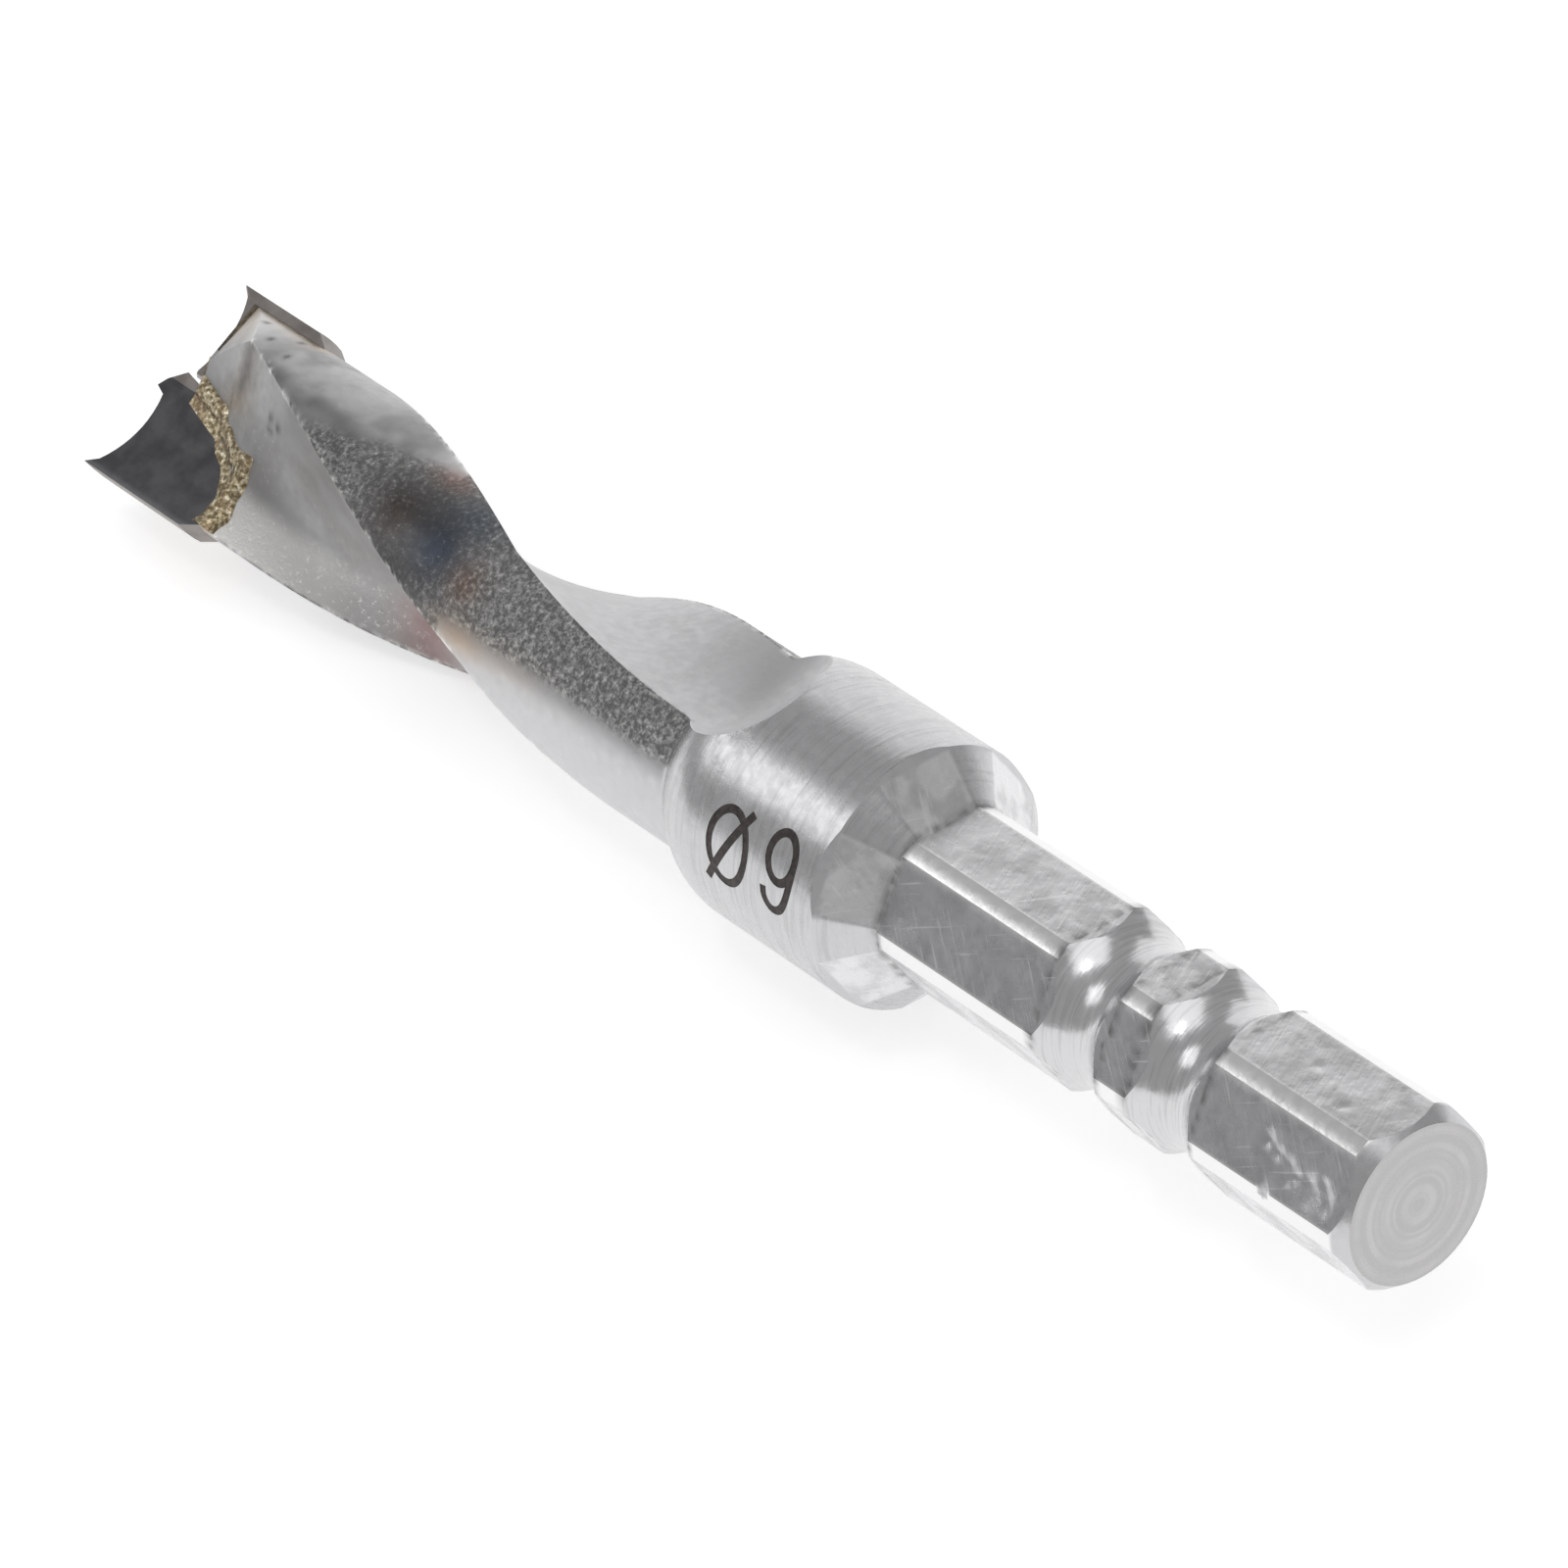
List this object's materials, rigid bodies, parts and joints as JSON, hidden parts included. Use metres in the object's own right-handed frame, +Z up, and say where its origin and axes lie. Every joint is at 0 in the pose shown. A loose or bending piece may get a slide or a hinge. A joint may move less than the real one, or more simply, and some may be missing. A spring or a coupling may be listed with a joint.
{
  "type": "hex shank drill bit",
  "caption": "Carbide-tipped boring bit for wood with helical flutes, outer spurs, a round collar and a short hexagonal quick-change shank.",
  "frame": {"origin": "centre of the shank's flat end face", "axes": "+X along the bit's axis to the cutting tip, +Z up as the bit lies on its side"},
  "size_m": [0.072, 0.0102, 0.0102],
  "materials": {
    "tool_steel": "bright milled and turned steel, sandblasted lands",
    "carbide": null,
    "braze": "rough granular brass-coloured braze"
  },
  "bodies": {
    "root": {"steel_body": "tool_steel", "carbide_tip_1": "carbide", "carbide_tip_2": "carbide", "braze_seam_1": "braze", "braze_seam_2": "braze"}
  },
  "joints": []
}
